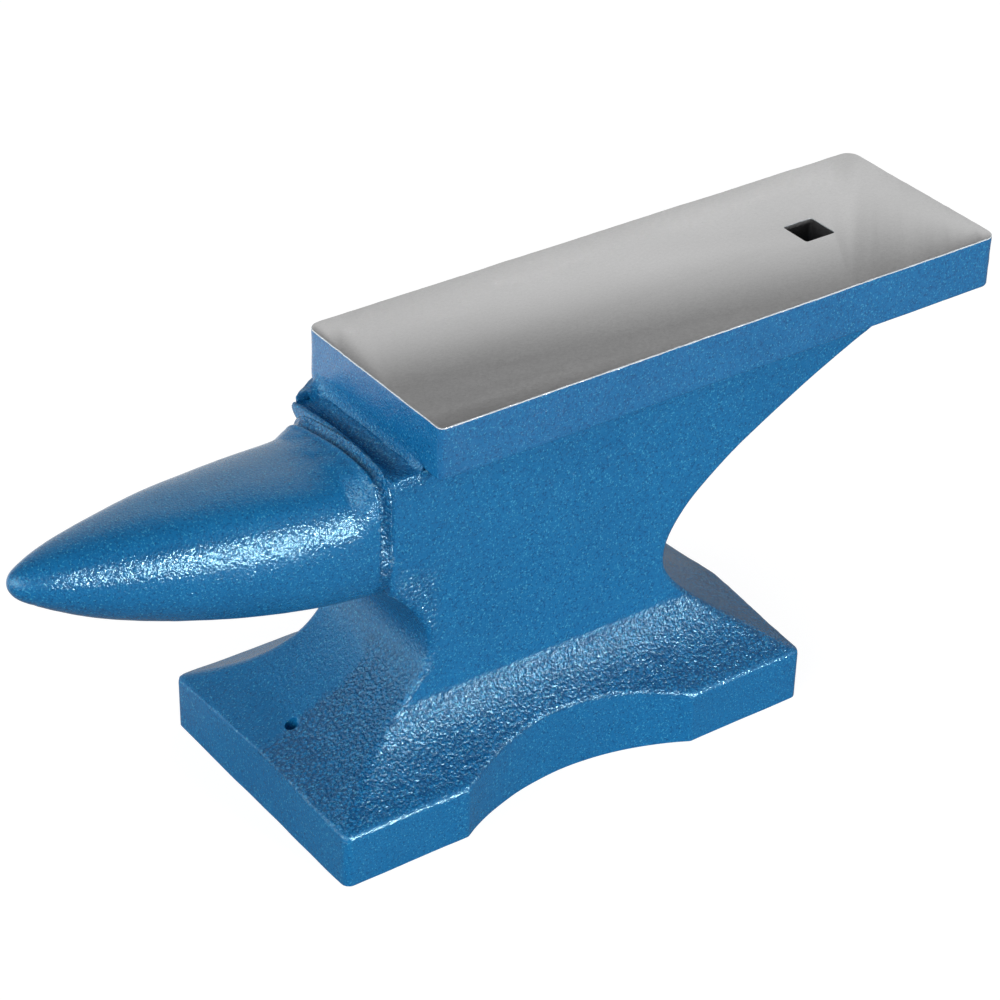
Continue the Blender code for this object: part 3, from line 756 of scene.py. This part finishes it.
class Tree:
    def __init__(self, name):
        self.mat = bpy.data.materials.new(name)
        self.mat.use_nodes = True
        self.t = self.mat.node_tree
        self.bsdf = self.t.nodes["Principled BSDF"]
        self.coord = self.node("ShaderNodeTexCoord").outputs["Object"]

    def node(self, kind, **props):
        n = self.t.nodes.new(kind)
        for k, v in props.items():
            setattr(n, k, v)
        return n

    def put(self, socket, value):
        if isinstance(value, bpy.types.NodeSocket):
            self.t.links.new(value, socket)
        else:
            socket.default_value = value

    def scaled(self, scale):
        m = self.node("ShaderNodeMapping")
        m.inputs["Scale"].default_value = scale
        self.put(m.inputs["Vector"], self.coord)
        return m.outputs["Vector"]

    def noise(self, size, detail=3.0, rough=0.55, vector=None, distort=0.0):
        n = self.node("ShaderNodeTexNoise")
        self.put(n.inputs["Vector"], vector or self.coord)
        n.inputs["Scale"].default_value = 1.0 / size
        n.inputs["Detail"].default_value = detail
        n.inputs["Roughness"].default_value = rough
        n.inputs["Distortion"].default_value = distort
        return n.outputs["Fac"]

    def pebbles(self, size, smoothness=0.6, vector=None):
        v = self.node("ShaderNodeTexVoronoi", feature="SMOOTH_F1")
        self.put(v.inputs["Vector"], vector or self.coord)
        v.inputs["Scale"].default_value = 1.0 / size
        v.inputs["Smoothness"].default_value = smoothness
        return v.outputs["Distance"]

    def math(self, op, a, b=0.0, c=0.0, clamp=False):
        n = self.node("ShaderNodeMath", operation=op, use_clamp=clamp)
        for i, v in enumerate((a, b, c)):
            self.put(n.inputs[i], v)
        return n.outputs[0]

    def span(self, v, a, b, lo=0.0, hi=1.0):
        n = self.node("ShaderNodeMapRange", clamp=True)
        self.put(n.inputs["Value"], v)
        for k, x in zip(("From Min", "From Max", "To Min", "To Max"), (a, b, lo, hi)):
            self.put(n.inputs[k], x)
        return n.outputs["Result"]

    def mix(self, f, a, b):
        n = self.node("ShaderNodeMix", data_type="RGBA")
        self.put(n.inputs["Factor"], f)
        self.put(n.inputs[6], a)
        self.put(n.inputs[7], b)
        return n.outputs[2]

    def attr(self, name):
        return self.node("ShaderNodeAttribute", attribute_name=name).outputs["Fac"]

    def z(self):
        s = self.node("ShaderNodeSeparateXYZ")
        self.put(s.inputs[0], self.coord)
        return s.outputs


BLUE = (0.0065, 0.158, 0.392, 1.0)
BLUE_DEEP = (0.0055, 0.140, 0.358, 1.0)
BLUE_PALE = (0.014, 0.185, 0.425, 1.0)
CHIP_AND_EDGE_HIGHLIGHT = (0.26, 0.52, 0.68, 1.0)


def paint_nodes(t, bump=1.0, edge_wear_and_highlight=True):
    """Thick, glossy enamel over a sand casting. Returns colour, roughness and normal sockets."""
    coarse, edge, hollow = t.attr("coarse"), t.attr("edge"), t.attr("hollow")
    big = t.noise(0.045, 3.0)
    mid = t.noise(0.004, 4.0, 0.6)
    colour = t.mix(t.span(big, 0.35, 0.68), BLUE, BLUE_DEEP)
    colour = t.mix(t.math("MULTIPLY", t.span(mid, 0.5, 0.72), 0.3), colour, BLUE_PALE)
    # painted shade: the colour is darker in the hollows and creases
    colour = t.mix(t.math("MULTIPLY", hollow, 0.75), colour, (0.002, 0.035, 0.12, 1.0))
    # painted shade: darker between the grains, and between the pebbles where the casting is coarse, standing in for the
    # shading of the pebbled enamel
    fine = t.noise(0.00088, 2.0, 0.5)
    grain = t.noise(0.00105, 2.0, 0.6, distort=0.3)
    lumps = t.pebbles(0.0017, 0.5)
    painted_grain_shade = t.math("MULTIPLY", t.span(grain, 0.50, 0.32), t.math("MULTIPLY_ADD", coarse, 0.05, 0.85))
    colour = t.mix(painted_grain_shade, colour, (0.003, 0.070, 0.215, 1.0))
    # painted shade: darker between the coarse pebbles
    between = t.math("MULTIPLY", t.span(lumps, 0.30, 0.55), t.math("MULTIPLY", coarse, 0.7))
    colour = t.mix(between, colour, (0.002, 0.045, 0.150, 1.0))
    # painted highlight: pale specks on the tops of the fine grain, standing in for glints
    glint = t.math("MULTIPLY", t.span(fine, 0.60, 0.67), 0.55)
    colour = t.mix(glint, colour, (0.060, 0.400, 0.640, 1.0))
    if edge_wear_and_highlight:
        # lighter along convex edges: partly worn paint, partly a painted highlight on the rounded edges
        wear_and_highlight = t.math("MULTIPLY", t.span(edge, 0.50, 0.95), t.span(t.noise(0.0030, 5.0, 0.7), 0.56, 0.66))
        colour = t.mix(t.math("MULTIPLY", wear_and_highlight, 0.5), colour, CHIP_AND_EDGE_HIGHLIGHT)
    rough = t.span(t.noise(0.010, 4.0, 0.6), 0.3, 0.7, 0.15, 0.23)
    grit = t.noise(0.00048, 1.0, 0.5)
    lumps2 = t.noise(0.0015, 2.0, 0.55, distort=0.4)
    # height in millimetres: fine orange peel everywhere, coarse sand pebbles where the casting is coarse
    h = t.math("MULTIPLY", fine, t.math("MULTIPLY_ADD", coarse, 0.06, 0.27))
    h = t.math("ADD", h, t.math("MULTIPLY", grit, 0.035))
    h = t.math("ADD", h, t.math("MULTIPLY", lumps, t.math("MULTIPLY", coarse, -0.40)))
    h = t.math("ADD", h, t.math("MULTIPLY", lumps2, t.math("MULTIPLY_ADD", coarse, 0.85, 0.10)))
    drops = t.pebbles(0.0065, 0.0)
    h = t.math("ADD", h, t.span(drops, 0.04, 0.11, 0.10, 0.0))
    b = t.node("ShaderNodeBump")
    b.inputs["Strength"].default_value = 1.0
    b.inputs["Distance"].default_value = 0.001 * bump
    t.put(b.inputs["Height"], h)
    return colour, rough, b.outputs["Normal"]


def enamel(name, bump=1.0):
    t = Tree(name)
    colour, rough, normal = paint_nodes(t, bump)
    t.put(t.bsdf.inputs["Base Color"], colour)
    t.put(t.bsdf.inputs["Roughness"], rough)
    t.put(t.bsdf.inputs["Normal"], normal)
    t.bsdf.inputs["Specular IOR Level"].default_value = 1.0
    t.bsdf.inputs["Specular Tint"].default_value = (0.48, 0.86, 1.0, 1.0)
    return t.mat


def plate_material():
    """Blue below, ground bare steel on the face, a thin chipped line where the grinder met the paint."""
    t = Tree("enamel_and_ground_steel")
    colour, rough, normal = paint_nodes(t, 0.8, edge_wear_and_highlight=False)
    xyz = t.z()
    top = PLATE_HI.z
    wander = t.math("MULTIPLY_ADD", t.noise(0.0035, 4.0, 0.7), 0.0006, -0.0003)
    height = t.math("ADD", xyz[2], wander)
    bare = t.span(height, top - 0.00062, top - 0.00050)
    face = t.span(xyz[2], top - 0.00012, top - 0.00004)
    # painted shade: the walls inside the hardy opening are painted near black, matte and not metallic
    geo = t.node("ShaderNodeNewGeometry")
    dx = t.math("ABSOLUTE", t.math("SUBTRACT", xyz[0], HARDY_X))
    dy = t.math("ABSOLUTE", xyz[1])
    inner = t.math("MAXIMUM", dx, dy)
    hole_shade = t.math("MULTIPLY", t.span(inner, HARDY_SIDE / 2 + 0.0003, HARDY_SIDE / 2 + 0.0001),
                  t.span(xyz[2], top - 0.00002, top - 0.0006))
    grind = t.noise(0.0011, 5.0, 0.75, t.scaled((0.7, 1.0, 1.0)))
    speck = t.noise(0.0007, 2.0, 0.6)
    cloud = t.noise(0.05, 3.0, 0.6)
    steel = t.mix(t.span(grind, 0.3, 0.7), (0.62, 0.62, 0.62, 1.0), (0.76, 0.76, 0.76, 1.0))
    steel = t.mix(t.math("MULTIPLY", t.span(cloud, 0.35, 0.7), 0.25), steel, (0.58, 0.58, 0.578, 1.0))
    steel = t.mix(t.math("MULTIPLY", t.span(speck, 0.62, 0.75), 0.35), steel, (0.42, 0.42, 0.42, 1.0))
    edge = (0.66, 0.72, 0.76, 1.0)
    c = t.mix(bare, colour, edge)
    c = t.mix(face, c, steel)
    c = t.mix(hole_shade, c, (0.010, 0.010, 0.011, 1.0))
    t.put(t.bsdf.inputs["Base Color"], c)
    not_hole = t.math("SUBTRACT", 1.0, hole_shade)
    t.put(t.bsdf.inputs["Metallic"], t.math("MULTIPLY", face, not_hole))
    r = t.math("MULTIPLY_ADD", t.math("SUBTRACT", 0.40, rough), face, rough)
    r = t.math("ADD", r, t.math("MULTIPLY", t.math("MULTIPLY", t.span(grind, 0.3, 0.7, -0.05, 0.06), face), 1.0))
    r = t.math("ADD", r, t.math("MULTIPLY", hole_shade, 0.4), clamp=True)
    t.put(t.bsdf.inputs["Roughness"], r)
    steel_bump = t.node("ShaderNodeBump")
    steel_bump.inputs["Strength"].default_value = 1.0
    steel_bump.inputs["Distance"].default_value = 0.00003
    t.put(steel_bump.inputs["Height"], grind)
    n = t.node("ShaderNodeMix", data_type="VECTOR")
    t.put(n.inputs["Factor"], face)
    t.put(n.inputs[4], normal)
    t.put(n.inputs[5], steel_bump.outputs["Normal"])
    t.put(t.bsdf.inputs["Normal"], n.outputs[1])
    t.bsdf.inputs["Specular IOR Level"].default_value = 1.0
    return t.mat


# ------------------------------------------------------------------ build the pieces

enamel_body = enamel("cast_blue_enamel")
enamel_horn = enamel("cast_blue_enamel_horn", 0.95)
enamel_weld = enamel("cast_blue_enamel_weld", 1.1)

PIECES = [(build_body(), "body_casting", enamel_body, "body_paint"),
          (build_horn(), "horn", enamel_horn, "horn_paint"),
          (build_horn_weld(), "horn_weld", enamel_weld, "bead_paint"),
          (build_plate(), "face_plate", plate_material(), "face_steel")]
for ob, node in build_beads():
    PIECES.append((ob, node, enamel_weld, "bead_paint"))
for ob, node, mat, slot in PIECES:
    ob.data.materials.clear()
    ob.data.materials.append(mat)
    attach(ob, "root")
    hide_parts(node)


# ------------------------------------------------------------------ stage: floor, light, camera

def floor_material():
    t = Tree("pale_floor")
    c = t.mix(t.span(t.noise(0.4, 4.0), 0.3, 0.7), (0.20, 0.20, 0.20, 1.0), (0.22, 0.22, 0.22, 1.0))
    t.put(t.bsdf.inputs["Base Color"], c)
    t.bsdf.inputs["Roughness"].default_value = 0.9
    t.bsdf.inputs["Specular IOR Level"].default_value = 0.1
    t.bsdf.inputs["Emission Color"].default_value = (1, 1, 1, 1)
    seen = t.node("ShaderNodeLightPath").outputs["Is Camera Ray"]
    # brighter behind the anvil than in front of it, as it shows in the glossy paint
    place = t.node("ShaderNodeSeparateXYZ")
    t.put(place.inputs[0], t.node("ShaderNodeNewGeometry").outputs["Position"])
    behind = t.math("MULTIPLY", t.span(place.outputs["Y"], 0.05, 0.30), 0.75)
    glow = t.math("MULTIPLY", t.math("SUBTRACT", 1.0, seen), t.math("ADD", behind, FLOOR_GLOW))
    t.put(t.bsdf.inputs["Emission Strength"], t.math("MULTIPLY_ADD", seen, FLOOR_SEEN, glow))
    return t.mat


FLOOR_SEEN, FLOOR_GLOW = 0.90, 0.04

bm = bmesh.new()
bmesh.ops.create_grid(bm, x_segments=8, y_segments=8, size=9.0)
floor = mesh_object("floor", bm)
floor.location = (0, 0, -0.0002)
floor.data.materials.append(floor_material())

world = bpy.data.worlds.new("studio")
bpy.context.scene.world = world
world.use_nodes = True
wt = world.node_tree
bg = wt.nodes["Background"]
tc = wt.nodes.new("ShaderNodeTexCoord")
sep = wt.nodes.new("ShaderNodeSeparateXYZ")
wt.links.new(tc.outputs["Generated"], sep.inputs[0])
ramp = wt.nodes.new("ShaderNodeValToRGB")
wt.links.new(sep.outputs["Z"], ramp.inputs[0])
els = ramp.color_ramp.elements
els[0].position, els[0].color = 0.0, (0.32, 0.32, 0.32, 1)
els[1].position, els[1].color = 1.0, (0.10, 0.10, 0.10, 1)
for pos, v in ((0.36, 0.32), (0.50, 0.28), (0.60, 0.22), (0.75, 0.12)):
    el = els.new(pos)
    el.color = (v, v, v, 1)


def wmath(op, a, b):
    n = wt.nodes.new("ShaderNodeMath")
    n.operation = op
    for i, v in enumerate((a, b)):
        if isinstance(v, bpy.types.NodeSocket):
            wt.links.new(v, n.inputs[i])
        else:
            n.inputs[i].default_value = v
    return n.outputs[0]


def glow(total, azimuth, elevation, inner, outer, strength):
    """Adds a soft patch of light. Azimuth 0 is -Y, growing towards +X."""
    a, e = math.radians(azimuth), math.radians(elevation)
    dot = wt.nodes.new("ShaderNodeVectorMath")
    dot.operation = "DOT_PRODUCT"
    wt.links.new(tc.outputs["Generated"], dot.inputs[0])
    dot.inputs[1].default_value = (math.sin(a) * math.cos(e), -math.cos(a) * math.cos(e), math.sin(e))
    m = wt.nodes.new("ShaderNodeMapRange")
    m.interpolation_type = "SMOOTHSTEP"
    wt.links.new(dot.outputs["Value"], m.inputs["Value"])
    m.inputs["From Min"].default_value = math.cos(math.radians(outer))
    m.inputs["From Max"].default_value = math.cos(math.radians(inner))
    m.inputs["To Max"].default_value = strength
    return wmath("ADD", total, m.outputs["Result"])


light = ramp.outputs[0]
for patch in ((42, 26, 12, 34, 0.8), (-86, 10, 15, 55, 2.8), (140, 20, 10, 34, 0.62)):
    light = glow(light, *patch)
wt.links.new(light, bg.inputs[1])
bg.inputs[0].default_value = (1, 1, 1, 1)


def softbox(name, direction, distance, size_x, size_y, power, long_axis=None, target=(0.0, 0.0, 0.1)):
    data = bpy.data.lights.new(name, "AREA")
    data.shape, data.size, data.size_y, data.energy = "RECTANGLE", size_x, size_y, power
    ob = bpy.data.objects.new(name, data)
    bpy.context.scene.collection.objects.link(ob)
    d = Vector(direction).normalized()
    ob.location = Vector(target) + d * distance
    z = d
    x = Vector(long_axis or (1, 0, 0))
    x = (x - z * x.dot(z)).normalized()
    y = z.cross(x)
    ob.matrix_world = Matrix.Translation(ob.location) @ Matrix((x, y, z)).transposed().to_4x4()
    return ob


soft = softbox("key", (0.155, -0.978, 0.139), 1.6, 0.23, 0.21, 14.0)
soft.visible_glossy = False
gloss = softbox("key_gloss", (0.155, -0.978, 0.150), 1.62, 0.25, 0.21, 47.0)
gloss.visible_diffuse = False

cam_data = bpy.data.cameras.new("camera")
cam_data.sensor_width, cam_data.lens = 36.0, 111.963
cam_data.shift_x, cam_data.shift_y = 0.0016039, 0.00041845
cam_data.clip_start, cam_data.clip_end = 0.05, 50
cam = bpy.data.objects.new("camera", cam_data)
bpy.context.scene.collection.objects.link(cam)
R, U, B = (0.8156434, -0.5781177, 0.0224888), (0.2991989, 0.4547594, 0.8388528), (-0.4951826, -0.6774761, 0.5438937)
C = (-0.6751236, -0.9256601, 0.8563585)
cam.matrix_world = Matrix(((R[0], U[0], B[0], C[0]), (R[1], U[1], B[1], C[1]), (R[2], U[2], B[2], C[2]), (0, 0, 0, 1)))
bpy.context.scene.camera = cam

vs = bpy.context.scene.view_settings
vs.view_transform, vs.look, vs.exposure, vs.gamma = "Standard", "None", 0.0, 1.0
